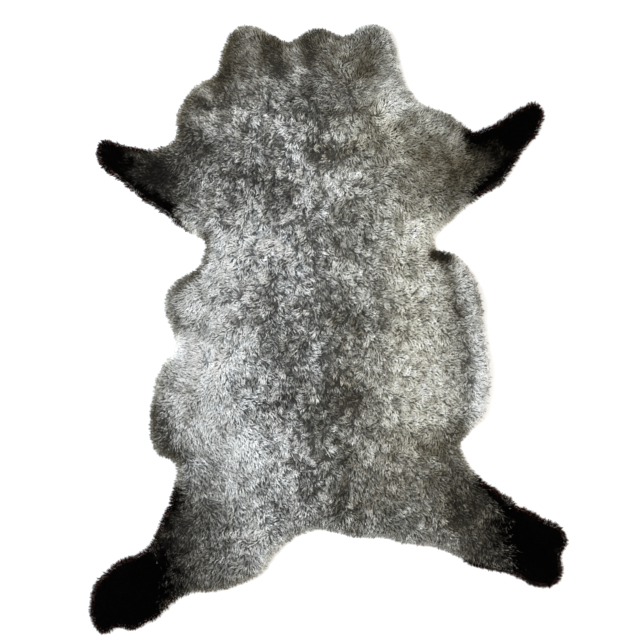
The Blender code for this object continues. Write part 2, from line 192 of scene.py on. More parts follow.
RAGGED_LARGE = Noise(22, 16 * MM, 3.1)        # how raggedly the black hair ends, in millimetres
RAGGED_SMALL = Noise(12, 6 * MM, 8.4)
RAGGED_FULLY = 20             # rows of the next table with a smaller half_width end less raggedly
WANDER_ACROSS = Noise(1.3, 34 * MM, 6.2)      # of the flow, beside a row of its table at its strongest
WANDER_ALONG = Noise(1.3, 34 * MM, 17.4)
MOTTLE_LARGE = Noise(0.45, 34 * MM, 0.5)      # patches of lighter and darker wool all over, in stops
MOTTLE_SMALL = Noise(1.1, 13 * MM, 2.5)
MOTTLE_WITHERS = 0.5          # how much stronger both are about this line on the withers
WITHERS_LINE = ((-70, 390), (0, 310), (-50, 190), (30, 230))
WITHERS_WIDTH = 72

# Dark hair on the legs.  Each row darkens what lies within half_width of its line, fading over soft.
# Millimetres.
Dark = namedtuple("Dark", "name half_width soft line")

DARK = (
    Dark("left foreleg, foot", 26, 36, ((-396, 308), (-374, 290))),
    Dark("left foreleg, upper rim", 4, 15, ((-384, 322), (-318, 308))),
    Dark("left foreleg, lower rim", 4, 17, ((-378, 278), (-268, 204))),
    Dark("left armpit, rim", 1, 8, ((-262, 194), (-232, 158))),
    Dark("right foreleg, foot", 27, 36, ((314, 336), (386, 408))),
    Dark("right foreleg, upper rim", 8, 26, ((246, 322), (318, 358))),
    Dark("right foreleg, lower rim", 3, 22, ((328, 300), (254, 236))),
    Dark("left hind foot", 62, 62, ((-350, -408), (-362, -500))),
    Dark("left hind leg, front rim", 8, 34, ((-270, -292), (-304, -350))),
    Dark("right hind foot", 41, 56, ((350, -330), (376, -412))),
    Dark("right hind leg, front rim", 3, 18, ((262, -262), (310, -314))),
    Dark("right hind leg, back rim", 2, 12, ((240, -398), (312, -420))),
)

# Lighter and darker parts of the wool, in stops of brightness.  The rows on ridges, crests and the top of
# the flank roll are painted light; those in valleys, grooves, creases, pits, hollows, dips and folds, and at
# the edges of the folded rims, are painted shade.  The rest are the wool's own tone: pale tufts, patches,
# legs.
# Millimetres.
Shade = namedtuple("Shade", "name half_width stops line")

SHADES = (
    Shade("neck", 46, -0.72, ((-160, 484), (-20, 472), (40, 462))),
    Shade("neck, front edge", 16, -1.0, ((-110, 496), (-60, 506), (0, 506))),
    Shade("neck, left rim", 14, -1.5, ((-160, 496), (-170, 440))),
    Shade("neck, left base", 24, -0.55, ((-180, 436), (-112, 430))),
    Shade("neck, first ridge", 11, 0.4, ((-128, 506), (-130, 440))),
    Shade("neck, second valley", 16, -1.2, ((-90, 482), (-80, 442))),
    Shade("neck, second ridge", 11, 0.55, ((-54, 476), (-52, 430))),
    Shade("neck, third valley", 12, -1.25, ((-34, 496), (-28, 464))),
    Shade("neck, right valley", 17, -1.05, ((74, 492), (72, 446))),
    Shade("neck, right of the spine", 22, -0.4, ((44, 450), (56, 400))),
    Shade("neck, right lobe", 26, 0.6, ((98, 500), (104, 410))),
    Shade("neck, right side", 24, 0.4, ((76, 440), (100, 392))),
    Shade("neck, bright spot", 11, 0.8, ((104, 370), (120, 384))),
    Shade("neck, slanting crease", 8, -0.8, ((114, 336), (144, 364))),
    Shade("left shoulder", 30, -1.0, ((-258, 386), (-244, 330))),
    Shade("left shoulder, notch", 15, -1.3, ((-188, 424), (-174, 392))),
    Shade("left shoulder, brown patch", 14, -1.0, ((-232, 392), (-214, 378))),
    Shade("left shoulder, pale band", 14, 0.4, ((-240, 366), (-160, 318))),
    Shade("shoulder ridge", 28, 0.38, ((-146, 420), (-70, 350))),
    Shade("shoulder valley", 11, -0.35, ((-148, 352), (-80, 308))),
    Shade("left foreleg", 36, -2.75, ((-356, 288), (-310, 262))),
    Shade("left foreleg, root", 30, -1.9, ((-276, 268), (-264, 226))),
    Shade("behind the left shoulder", 16, -1.1, ((-252, 336), (-200, 306))),
    Shade("behind the left foreleg", 20, -0.6, ((-222, 284), (-190, 250))),
    Shade("dark cloud on the left", 24, -0.6, ((-146, 276), (-124, 264), (-84, 228))),
    Shade("spine, front", 20, -0.42, ((-12, 430), (-16, 290))),
    Shade("spine, dark knot", 11, -0.6, ((-26, 396), (-14, 380))),
    Shade("spine, dark hollow", 13, -0.5, ((-20, 308), (10, 296))),
    Shade("withers, dark band", 22, -0.3, ((-60, 300), (30, 296))),
    Shade("spine, middle", 24, -0.2, ((-20, 220), (-6, 140))),
    Shade("spine, lighter in the middle", 22, 0.35, ((10, 104), (28, 84))),
    Shade("spine, lighter loin", 26, 0.3, ((-50, 100), (20, 80))),
    Shade("spine, rear", 34, -0.5, ((6, 50), (20, -60), (16, -150), (12, -240))),
    Shade("spine, root of the tail", 28, -0.55, ((12, -270), (40, -322))),
    Shade("loin, right of the spine", 20, -0.35, ((80, -170), (96, -190))),
    Shade("behind the loin", 18, -0.35, ((14, -166), (24, -190))),
    Shade("left of the loin", 20, -0.25, ((-48, -40), (-44, -104))),
    Shade("spine, slanting valley", 9, -0.3, ((-32, 14), (30, -52), (40, -78))),
    Shade("spine, lighter patch", 18, 0.5, ((0, -20), (10, -50))),
    Shade("right of the spine, lighter patch", 16, 0.35, ((66, -50), (76, -84))),
    Shade("spine, left valley", 16, -0.6, ((-76, -10), (-64, -40))),
    Shade("spine, lower left valley", 17, -0.5, ((-92, -124), (-58, -106))),
    Shade("spine, dark hollow behind", 16, -0.7, ((4, -84), (46, -108))),
    Shade("spine, lower valley", 16, -0.7, ((-26, -150), (6, -116), (80, -122))),
    Shade("spine, right of it", 26, -0.45, ((20, 26), (116, 6))),
    Shade("pale tuft on the neck", 18, 0.8, ((20, 336), (44, 336))),
    Shade("right of the withers", 20, -0.42, ((82, 304), (94, 246))),
    Shade("left of the withers", 20, -0.5, ((-128, 238), (-104, 216))),
    Shade("pale tufts, first", 11, 1.1, ((-52, 294), (-30, 278))),
    Shade("pale tufts, second", 12, 0.65, ((-42, 252), (-38, 236))),
    Shade("pale tufts on the withers", 20, 1.35, ((10, 248), (36, 262))),
    Shade("pale tufts, third", 15, 0.7, ((-66, 84), (-46, 62))),
    Shade("left of the spine, dark patch", 14, -0.4, ((-100, 54), (-96, 24))),
    Shade("left flank, inner light", 20, 0.45, ((-132, -16), (-124, -60))),
    Shade("left chest, inner light", 16, 0.35, ((-152, 92), (-140, 62))),
    Shade("pale tufts, fifth", 14, 0.8, ((-34, -54), (-16, -90))),
    Shade("pale tufts, sixth", 14, 0.3, ((-110, -96), (-98, -104))),
    Shade("pale tufts, seventh", 9, 0.9, ((12, -170), (50, -186))),
    Shade("left chest", 62, 0.88, ((-190, 166), (-110, 156))),
    Shade("left flank", 66, 0.95, ((-206, 60), (-204, -60), (-200, -136))),
    Shade("left flank, bright", 28, 0.95, ((-250, -28), (-186, -48))),
    Shade("left flank, armpit", 9, -2.7, ((-208, 160), (-209, 122), (-226, 92))),
    Shade("left flank, front rim", 13, -1.3, ((-240, 82), (-280, 56))),
    Shade("left flank, dip", 15, -1.15, ((-268, 16), (-212, 2))),
    Shade("left flank, rear edge", 18, -1.9, ((-292, -146), (-280, -184), (-262, -214))),
    Shade("left haunch", 42, 0.85, ((-150, -200), (-120, -250))),
    Shade("left flank, lower", 36, -0.36, ((-246, -150), (-180, -184))),
    Shade("left haunch, pale stripe", 16, 0.6, ((-82, -186), (-74, -256))),
    Shade("left haunch, darker patch", 16, -0.5, ((-112, -270), (-84, -300))),
    Shade("left ham", 28, 0.72, ((-126, -330), (-98, -388))),
    Shade("left thigh", 34, -2.0, ((-262, -314), (-262, -370), (-260, -440))),
    Shade("left thigh, inner", 34, -1.1, ((-200, -330), (-204, -430))),
    Shade("right chest", 42, 0.95, ((130, 168), (170, 150))),
    Shade("right side", 52, 0.75, ((140, 70), (156, 0), (150, -120))),
    Shade("above the flank roll", 14, -0.6, ((110, 112), (176, 112))),
    Shade("right side, brighter", 40, 0.45, ((140, -40), (150, -140))),
    Shade("right shoulder, brown", 32, -0.95, ((160, 316), (204, 290))),
    Shade("right shoulder, rim", 15, -0.9, ((206, 374), (234, 348))),
    Shade("right shoulder, front slope", 22, 0.45, ((112, 308), (154, 358))),
    Shade("right shoulder, dark", 27, -1.4, ((224, 262), (206, 236))),
    Shade("right shoulder, light", 15, 0.75, ((214, 314), (222, 284))),
    Shade("right foreleg", 34, -4.0, ((282, 298), (316, 312))),
    Shade("right foreleg, pale spot", 10, 1.2, ((268, 270), (276, 278))),
    Shade("flank roll, pit", 9, -4.4, ((180, 126), (200, 121))),
    Shade("flank roll, groove", 11, -1.0, ((204, 96), (218, 34), (236, -44), (234, -130), (220, -172))),
    Shade("flank roll, groove's dark spots", 12, -0.8, ((216, 40), (220, 28))),
    Shade("flank roll, lower end", 13, -0.7, ((216, -168), (206, -190))),
    Shade("flank roll", 26, 0.9, ((228, 70), (254, 0), (248, -130))),
    Shade("flank roll, crest", 13, 0.3, ((262, -10), (262, -80), (248, -150))),
    Shade("flank roll, outer edge", 12, -0.55, ((250, 84), (266, 40))),
    Shade("stifle", 18, -0.6, ((214, -204), (208, -246))),
    Shade("dark spot on the haunch", 12, -0.9, ((160, -196), (186, -206))),
    Shade("right haunch", 40, -0.3, ((124, -258), (166, -266))),
    Shade("right loin, dark", 26, -0.4, ((150, -176), (176, -190))),
    Shade("right thigh", 36, -2.15, ((240, -286), (254, -330), (268, -380))),
    Shade("right thigh, inner", 22, -0.6, ((190, -310), (226, -306))),
    Shade("right thigh, streak", 10, -0.8, ((210, -284), (214, -336))),
    Shade("rump", 40, -0.52, ((20, -320), (120, -330))),
    Shade("rump, dark streak", 12, -0.6, ((10, -210), (52, -238))),
    Shade("rump, lighter left", 18, 0.4, ((-16, -286), (8, -256))),
    Shade("rump, lighter right", 16, 0.35, ((78, -206), (88, -226))),
)

# Where the grey is warm, a cream or a brownish grey, from 0 to 1.  Millimetres.
Warm = namedtuple("Warm", "name half_width warmth line")

WARMTH = (
    Warm("right side", 78, 0.95, ((140, 300), (150, 200), (146, 0), (150, -170))),
    Warm("spine", 42, 0.25, ((20, 330), (24, 0), (30, -300))),
    Warm("neck", 46, 0.45, ((-160, 480), (60, 480))),
    Warm("neck, right of the spine", 36, 0.45, ((56, 430), (70, 340))),
    Warm("left shoulder", 44, 0.40, ((-240, 390), (-190, 410))),
    Warm("right haunch", 60, 0.40, ((120, -290), (250, -330))),
    Warm("right foreleg", 40, 0.50, ((236, 290), (310, 310))),
)
WARM_RIM = 0.7                # the left side's rim is as warm as this
WARM_RIM_WIDTH = 22 * MM
WARM_RIM_SIDE = (-120, 0)     # across the pelt, it is full as far as the first and gone at the second

# Where the wool lies sleek and combed, without curls, from 0 to 1.  Millimetres.
Sleek = namedtuple("Sleek", "name half_width sleekness line")

SLEEK = (
    Sleek("neck and right shoulder", 58, 1.0, ((-150, 476), (-20, 482), (84, 470), (116, 400), (160, 340))),
    Sleek("left side", 44, 1.0, ((-236, 120), (-250, 40), (-222, -40), (-220, -170), (-170, -240))),
    Sleek("left thigh", 50, 0.5, ((-226, -300), (-210, -410))),
    Sleek("left foreleg", 40, 0.6, ((-360, 290), (-290, 250))),
)
SLEEK_CALM = 0.27             # how much less the sleekest wool varies

# Which way the wool lies, as degrees from +X, anticlockwise.  Millimetres.
Flow = namedtuple("Flow", "name across along reach degrees")

FLOW = (
    Flow("neck, left", -140, 470, 80, 146),
    Flow("neck, middle", -30, 440, 80, 170),
    Flow("neck, right", 100, 440, 90, 34),
    Flow("left shoulder", -210, 370, 80, 164),
    Flow("right shoulder", 190, 320, 80, 8),
    Flow("left foreleg", -330, 290, 90, 174),
    Flow("right foreleg", 310, 330, 90, 40),
    Flow("throat", -20, 330, 80, -112),
    Flow("chest, left", -130, 220, 90, -140),
    Flow("chest, right", 130, 220, 90, -30),
    Flow("back, front", -20, 110, 80, -62),
    Flow("back, middle", -10, -60, 80, -80),
    Flow("back, rear", 0, -250, 100, -86),
    Flow("left side", -200, 60, 90, -160),
    Flow("left flank", -250, -90, 60, 178),
    Flow("left flank, inner", -130, -110, 80, -52),
    Flow("left haunch", -130, -250, 90, -48),
    Flow("right side", 160, 60, 90, -14),
    Flow("right flank", 160, -100, 90, -32),
    Flow("right haunch", 130, -280, 90, -66),
    Flow("left thigh", -200, -370, 80, -118),
    Flow("right thigh", 220, -310, 80, -48),
    Flow("left hind foot", -350, -440, 90, -136),
    Flow("right hind foot", 350, -370, 90, -26),
)
RIM_FLOW_WIDTH = 42 * MM      # within this of the outline the wool turns outwards
RIM_FLOW_STRENGTH = 2.4
RIM_FLOW_ON_LEGS = 0.3        # of that; the black hair of the legs lies more along them

# Colours, linear
COOL_WOOL = np.array((0.455, 0.460, 0.442))
WARM_WOOL = np.array((0.482, 0.462, 0.378))
PALE_TINT = np.array((0.97, 1.00, 1.05))      # the palest wool is bluish,
PALE_STOPS = 1.6              # fully so where it is this much lighter than the usual grey,
PALE_LOST_WHERE_WARM = 0.7    # and less so, by this share, where it is warm
DEEP_TINT = np.array((1.13, 1.00, 0.78))      # the deepest is brownish,
DEEP_STOPS = 2.0              # fully so where it is this much darker,
DEEP_TINT_WHERE_COOL = 0.4    # and by this share where it is cool
BLACK_HAIR = np.array((0.0010, 0.0007, 0.0006))
BROWN_HAIR = np.array((0.040, 0.014, 0.009))
BROWN_RIM_SHARE = 0.6         # of the hairs at the rim of the legs are reddish
BROWN_RIM_WIDTH = 9 * MM
GREY_AMONG_BLACK = -1.4       # stops, how much darker the grey strands are where the black hair begins
# Painted shade along each strand: darkest at the root deep in the wool, lightest at the tip
STRAND_PAINTED_SHADE = (0.28, 0.80, 0.80, 1.30)       # a strand's brightness at its root, its two sides and its tip
PALEST = 0.93                 # no strand reflects more

# The stage
FLOOR_REACH = 60.0
FLOOR_COLOUR = (0.9, 0.9, 0.9, 1)
SKY_LIGHT = 0.75
Lamp = namedtuple("Lamp", "name place colour power size")

LAMPS = (
    Lamp("cool light from the left", (-1.9, 0.5, 1.7), (0.88, 0.94, 1.0), 55, 1.2),
    Lamp("warm light from the right", (2.0, -0.3, 1.8), (1.0, 0.95, 0.86), 38, 1.2),
)
CAMERA_PLACE = (-0.0137, 0.0166, 2.6)
SENSOR_WIDTH = 36             # millimetres
SEEN_WIDTH = 1.088            # what the picture shows from side to side, at this height:
SEEN_HEIGHT = 0.015


def smooth(x):
    x = np.clip(x, 0, 1)
    return x * x * (3 - 2 * x)


def distances_to(points, line):
    """Distance of each point from a line of straight pieces."""
    best = np.full(len(points), np.inf)
    for start, end in zip(line[:-1], line[1:]):
        start, end = np.array(start, float), np.array(end, float)
        side = end - start
        share = np.clip((points - start) @ side / (side @ side), 0, 1)
        away = points - start - share[:, None] * side
        best = np.minimum(best, np.hypot(away[:, 0], away[:, 1]))
    return best


def bell(points, line, half_width):
    """1 on the line, a half at half_width from it."""
    return np.exp(-math.log(2) * (distances_to(points / MM, line) / half_width) ** 2)


def directions(angles):
    return np.column_stack([np.cos(angles), np.sin(angles)])


def noise_at(points, kind):
    values = [noise.noise(Vector((x / kind.length, y / kind.length, kind.layer))) for x, y in points]
    return kind.strength * np.array(values)


def tree_of(points):
    """A tree for finding the nearest of these points."""
    tree = KDTree(len(points))
    for k, (x, y) in enumerate(points):
        tree.insert((x, y, 0), k)
    tree.balance()
    return tree


class Field:
    """A value at every point of a fine grid over the pelt, read smoothly between its points."""

    low = np.array([cad_box[0][0], cad_box[0][1]]) - GRID_MARGIN
    high = np.array([cad_box[1][0], cad_box[1][1]]) + GRID_MARGIN
    size = np.ceil((high - low) / GRID_STEP).astype(int) + 1
    last = size - 1.001       # just inside the last point, so that there is always a next one

    @classmethod
    def places(cls):
        i, j = np.meshgrid(np.arange(cls.size[0]), np.arange(cls.size[1]), indexing="ij")
        return cls.low + np.column_stack([i.ravel(), j.ravel()]) * GRID_STEP

    def __init__(self, values):
        self.values = np.asarray(values, float).reshape(self.size)

    def at(self, points):
        where = np.clip((points - self.low) / GRID_STEP, 0, self.last)
        cell = where.astype(int)
        i, j = cell.T
        u, v = (where - cell).T
        near = self.values[i, j] * (1 - u) + self.values[i + 1, j] * u
        far = self.values[i, j + 1] * (1 - u) + self.values[i + 1, j + 1] * u
        return near * (1 - v) + far * v


def solid_mesh():
    """Corner places and faces of the solid."""
    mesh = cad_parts["sheepskin"].data
    places = np.empty(len(mesh.vertices) * 3)
    mesh.vertices.foreach_get("co", places)
    places = places.reshape(-1, 3)
    # Each face has corners of its own, so equal places are joined by name
    keys = {}
    names = [keys.setdefault(tuple(np.round(p, 6)), len(keys)) for p in places]
    joined = np.array(list(keys))
    faces = [[names[k] for k in face.vertices] for face in mesh.polygons]
    return joined, faces


def outline_of(places, faces):
    """The pelt's smooth outline: the edge between upper and under faces, its locks averaged out."""
    after = {}
    facing = {}
    for face in faces:
        a, b, c = (places[k] for k in face)
        up = (b[0] - a[0]) * (c[1] - a[1]) - (b[1] - a[1]) * (c[0] - a[0]) > 0
        for k in range(3):
            facing[face[k], face[k - 2]] = up
    for (k, n), up in facing.items():
        if up and not facing.get((n, k), up):
            after[k] = n
    first = next(iter(after))
    ring = [first]
    while after[ring[-1]] != first:
        ring.append(after[ring[-1]])
    ring = places[ring][:, :2]
    for _ in range(2):
        ring = (ring + np.roll(ring, -1, axis=0)) / 2
    # Points a millimetre or so apart
    fine = []
    for start, end in zip(ring, np.roll(ring, -1, axis=0)):
        steps = max(1, round(np.linalg.norm(end - start) / MM))
        fine += [start + (end - start) * k / steps for k in range(steps)]
    return np.array(fine)


def surface_of(solid, place, side):
    """Height of the solid seen from above, where side is 1, or from below, where it is -1."""
    hit = solid.ray_cast(Vector((*place, side)), Vector((0, 0, -side)))[0]
    return hit.z if hit else 0


class Pelt:
    """The pelt's shape, read from the solid."""

    def __init__(self):
        places, faces = solid_mesh()
        self.fine = outline_of(places, faces)
        run = np.roll(self.fine, -TANGENT_STEPS, axis=0) - np.roll(self.fine, TANGENT_STEPS, axis=0)
        run /= np.linalg.norm(run, axis=1)[:, None]
        self.out = np.column_stack([run[:, 1], -run[:, 0]])

        grid = Field.places()
        tree = tree_of(self.fine)
        nearest = [tree.find((x, y, 0)) for x, y in grid]
        index = np.array([n[1] for n in nearest])
        away = np.array([n[2] for n in nearest])
        out = self.out[index]
        outside = ((grid - self.fine[index]) * out).sum(1) > 0
        inset = np.where(outside, -away, away)
        self.inset = Field(inset)
        self.out_x, self.out_y = Field(out[:, 0]), Field(out[:, 1])

        solid = BVHTree.FromPolygons([tuple(p) for p in places], faces)
        look = grid - np.where(inset < RIM_WIDTH, RIM_WIDTH - inset, 0)[:, None] * out
        top = np.zeros(len(grid))
        under = np.zeros(len(grid))
        for k in np.flatnonzero(inset > -2 * RIM_REACH):
            top[k] = surface_of(solid, look[k], 1)
            under[k] = surface_of(solid, look[k], -1)
        self.lift = Field(np.where(under > HIGHEST_LIFT, 0, under))
        inner = np.clip((inset + RIM_REACH) / (RIM_WIDTH + RIM_REACH), 0, 1)
        self.wool = Field(top * (1 - (1 - inner) ** RIM_ROUNDNESS))

    def height(self, points):
        """Height of the wool above the skin's underside."""
        return np.maximum(self.wool.at(points) - self.lift.at(points), THINNEST_WOOL)


def flow_at(pelt, points, dark, sleek):
    """Direction in which the wool lies, as an angle."""
    wander = 1 - SLEEK_CALM * sleek
    x = wander * noise_at(points, WANDER_ACROSS)
    y = wander * noise_at(points, WANDER_ALONG)
    for row in FLOW:
        distance = np.hypot(*(points / MM - (row.across, row.along)).T)
        weight = np.exp(-((distance / row.reach) ** 2))
        x += weight * math.cos(math.radians(row.degrees))
        y += weight * math.sin(math.radians(row.degrees))
    rim = RIM_FLOW_STRENGTH * smooth(1 - pelt.inset.at(points) / RIM_FLOW_WIDTH) ** 2
    rim *= 1 + (RIM_FLOW_ON_LEGS - 1) * dark
    x += rim * pelt.out_x.at(points)
    y += rim * pelt.out_y.at(points)
    return np.arctan2(y, x)


def darkness_at(points):
    """0 on grey wool, 1 on the black hair of the legs."""
    ragged = noise_at(points, RAGGED_LARGE) + noise_at(points, RAGGED_SMALL)
    dark = np.zeros(len(points))
    for row in DARK:
        distance = distances_to(points / MM, row.line) + ragged * min(1, row.half_width / RAGGED_FULLY)
        dark = np.maximum(dark, smooth(1 - (distance - row.half_width) / row.soft))
    return dark


def shade_at(points):
    """Stops of brightness: painted light on ridges, painted shade in valleys and folds, and own tone."""
    return sum(row.stops * bell(points, row.line, row.half_width) for row in SHADES)


def mottle_at(points):
    """Stops of brightness that wander over the pelt in patches."""
    mottle = noise_at(points, MOTTLE_LARGE) + noise_at(points, MOTTLE_SMALL)
    return mottle * (1 + MOTTLE_WITHERS * bell(points, WITHERS_LINE, WITHERS_WIDTH))


def warmth_at(pelt, points):
    """0 where the grey is cool, 1 where it is cream."""
    warm = sum(row.warmth * bell(points, row.line, row.half_width) for row in WARMTH)
    full, gone = WARM_RIM_SIDE
    side = smooth((gone - points[:, 0] / MM) / (gone - full))
    return np.clip(warm + WARM_RIM * side * smooth(1 - pelt.inset.at(points) / WARM_RIM_WIDTH), 0, 1)


def sleekness_at(points):
    """0 where the wool is curly, 1 where it lies sleek."""
    return np.max([row.sleekness * bell(points, row.line, row.half_width) for row in SLEEK], axis=0)


def colour_at(warmth, stops):
    """Colour of wool this warm, and this much lighter or darker than the usual grey."""
    warm = warmth[:, None]
    colour = COOL_WOOL + (WARM_WOOL - COOL_WOOL) * warm
    pale = smooth(stops / PALE_STOPS)[:, None] * (1 - PALE_LOST_WHERE_WARM * warm)
    deep = smooth(-stops / DEEP_STOPS)[:, None]
    deep = deep * (DEEP_TINT_WHERE_COOL + (1 - DEEP_TINT_WHERE_COOL) * warm)
    colour = colour * (1 + (PALE_TINT - 1) * pale) * (1 + (DEEP_TINT - 1) * deep)
    return colour * (2.0 ** stops)[:, None]


def rows_over(pelt, spacing, least):
    """Points in staggered rows over the pelt, at least this far inside the outline."""
    low, high = Field.low, Field.high
    found = []
    for i, y in enumerate(np.arange(low[1], high[1], spacing * math.sqrt(3) / 2)):
        x = np.arange(low[0] + (i % 2) * spacing / 2, high[0], spacing)
        found.append(np.column_stack([x, np.full(len(x), y)]))
    found = np.vstack(found)
    return found[pelt.inset.at(found) > least]


def inset_ring(pelt, inset, spacing):
    """A closed line of points this far inside the outline."""
    step = max(1, round(spacing / MM))
    ring = (pelt.fine - pelt.out * inset)[::step]
    kept = pelt.inset.at(ring) > inset - RING_TOLERANCE
    return ring[kept]


def plate(name, pelt, inset, spacing, top, under):
    """A closed mesh inside a line this far from the outline, with its top and underside at given heights."""
    ring = inset_ring(pelt, inset, PLATE_RIM_SPACING)
    inner = rows_over(pelt, spacing, inset + PLATE_CLEARANCE * spacing)
    size = len(ring)
    points = np.vstack([ring, inner])
    border = [(k, (k + 1) % size) for k in range(size)]
    made = delaunay_2d_cdt([Vector(p) for p in points], border, [], 1, PLATE_TOLERANCE)
    flat = np.array([tuple(p) for p in made[0]])
    faces = [list(face) for face in made[2]]
    edges = {(face[k], face[k - 2]) for face in faces for k in range(3)}
    rim = sorted((a, b) for a, b in edges if (b, a) not in edges)
    count = len(flat)
    places = np.vstack([np.column_stack([flat, top(flat)]), np.column_stack([flat, under(flat)])])
    faces += [[k + count for k in face][::-1] for face in made[2]]
    faces += [[b, a, a + count, b + count] for a, b in rim]
    mesh = bpy.data.meshes.new(name)
    mesh.from_pydata([tuple(p) for p in places], [], faces)
    mesh.shade_smooth()
    mesh.set_sharp_from_angle(angle=math.radians(PLATE_SHARP_ANGLE))
    return link(name, mesh)


def link(name, data):
    made = bpy.data.objects.new(name, data)
    bpy.context.scene.collection.objects.link(made)
    return made


def paint(mesh, name, colours):
    layer = mesh.color_attributes.new(name, "FLOAT_COLOR", "POINT")
    full = np.column_stack([colours, np.ones(len(colours))]).astype(np.float32)
    layer.data.foreach_set("color", full.ravel())


class Curls:
    """Clumps of wool scattered over the pelt, each lying its own way and overlapping the next."""

    def __init__(self, pelt, rng):
        self.centre = rows_over(pelt, CURL_SPACING, -CURL_SPACING)
        self.centre += rng.normal(0, CURL_SCATTER * CURL_SPACING, self.centre.shape)
        count = len(self.centre)
        self.turn = rng.normal(0, math.radians(CURL_TURN), count)
        self.stops = rng.normal(0, CURL_SHADE, count)
        self.tree = tree_of(self.centre)

    def near(self, points):
        """For each point its curl, and how much it lies in the gap beside the next one."""
        found = [self.tree.find_n((x, y, 0), 2) for x, y in points]
        curl = np.array([pair[0][1] for pair in found])
        room = np.array([pair[1][2] - pair[0][2] for pair in found])
        return curl, np.exp(-((room / CURL_GAP) ** 2))


class Tufts:
    """Places, directions, shapes and colours of all the tufts of wool."""

    def __init__(self, pelt, rng):
        self.place(pelt, rng)
        self.count = len(self.centre)
        self.shade = shade_at(self.centre)
        self.sleek = sleekness_at(self.centre)
        self.loose = smooth(pelt.inset.at(self.centre) / RIM_FLOW_WIDTH) * (1 - FOOT_CALM * self.dark)
        self.curly = 1 + CURLY_BACK * bell(self.centre, CURLY_BACK_LINE, CURLY_BACK_WIDTH)
        self.curly *= 1 - self.sleek
        self.comb(pelt, rng)
        self.shape(rng)
        self.dye(pelt, rng)

    def place(self, pelt, rng):
        """Sets tufts in rows over the pelt and along its rim, fewer of them near the outline."""
        body = rows_over(pelt, TUFT_SPACING, LEG_TUFT_INSET)
        body += rng.normal(0, TUFT_SCATTER * TUFT_SPACING, body.shape)
        rim = np.vstack([inset_ring(pelt, inset, RIM_TUFT_SPACING) for inset in RIM_TUFT_INSETS])
        rim += rng.normal(0, TUFT_SCATTER * RIM_TUFT_SPACING, rim.shape)
        centre = np.vstack([body, rim])
        at_rim = np.arange(len(centre)) >= len(body)
        inset = pelt.inset.at(centre)
        dark = darkness_at(centre)
        missing = SPARSE_RIM_SHARE * smooth(1 - inset / SPARSE_RIM_WIDTH)
        missing *= bell(centre, SPARSE_RIM, 2 * SPARSE_RIM_WIDTH / MM)
        least = np.where(at_rim, LEG_TUFT_INSET, BODY_TUFT_INSET)
        missing += np.where(inset < least, 1 - FULL_RIM_DARKNESS * dark, 0)
        kept = rng.random(len(centre)) > missing
        self.centre, self.dark, self.at_rim = centre[kept], dark[kept], at_rim[kept]

    def comb(self, pelt, rng):
        """Turns each tuft with the flow, with its curl, and a little on its own."""
        curls = Curls(pelt, rng)
        curl, self.gap = curls.near(self.centre)
        self.curl_stops = curls.stops[curl]
        turn = curls.turn[curl] * self.curly + rng.normal(0, math.radians(TUFT_TURN), self.count)
        turn *= 1 - SLEEK_CALM * self.sleek
        turn *= RIM_TURN_SHARE + (1 - RIM_TURN_SHARE) * self.loose
        self.angle = flow_at(pelt, self.centre, self.dark, self.sleek) + turn
        self.angle += np.where(self.at_rim, rng.normal(0, math.radians(RIM_TUFT_TURN), self.count), 0)
        along = ((self.centre - curls.centre[curl]) * directions(self.angle)).sum(1)
        self.along = np.clip(along / (CURL_SPACING / 2), -CURL_REACH, CURL_REACH)

    def shape(self, rng):
        """How far each tuft leans, how wide and how bent it is, and how much it is raised."""
        self.lean = TUFT_LEAN * rng.uniform(*LEAN_SPREAD, self.count)
        self.lean *= np.where(self.at_rim, RIM_TUFT_LEAN, 1)
        self.radius = TUFT_RADIUS * rng.uniform(*RADIUS_SPREAD, self.count)
        self.bend = rng.normal(0, TUFT_BEND, self.count) * (1 - FOOT_STRAIGHTNESS * self.dark)
        relief = SHADE_RELIEF * np.clip(self.shade, *RELIEF_LIMITS)
        self.rise = self.loose * (relief + CURL_RISE * self.curly * (self.along - self.gap))

    def dye(self, pelt, rng):
        """Gives each tuft the colour of its kind and place, with painted light and shade."""
        black, grey, _ = KINDS
        black_share = np.clip(black.share - BLACK_BY_SHADE * self.shade, *BLACK_LIMITS)
        grey_share = (1 - black_share) * grey.share / (1 - black.share)
        draw = rng.random(self.count)
        kind = (draw > black_share).astype(int) + (draw > black_share + grey_share)
        stops = np.array([row.stops for row in KINDS])[kind]
        stops += rng.normal(0, 1, self.count) * np.array([row.spread for row in KINDS])[kind]
        # Painted light on each curl's raised tip end, painted shade at its root end and in the gap beside
        # the next curl, and each curl's own tone
        curl = CURL_RISE_PAINTED_LIGHT * self.along + CURL_GAP_PAINTED_SHADE * self.gap + self.curl_stops
        stops += self.loose * self.curly * curl
        warmth = warmth_at(pelt, self.centre)
        stops *= (1 - WARM_CALM * warmth) * (1 - SLEEK_CALM * self.sleek)
        # Painted shade where the wool rolls down to the floor at the outline
        shade = self.shade + RIM_PAINTED_SHADE * smooth(1 - pelt.inset.at(self.centre) / RIM_SHADE_WIDTH)
        shade += GREY_AMONG_BLACK * self.dark
        self.colour = colour_at(warmth, shade + mottle_at(self.centre)) * (2.0 ** stops)[:, None]


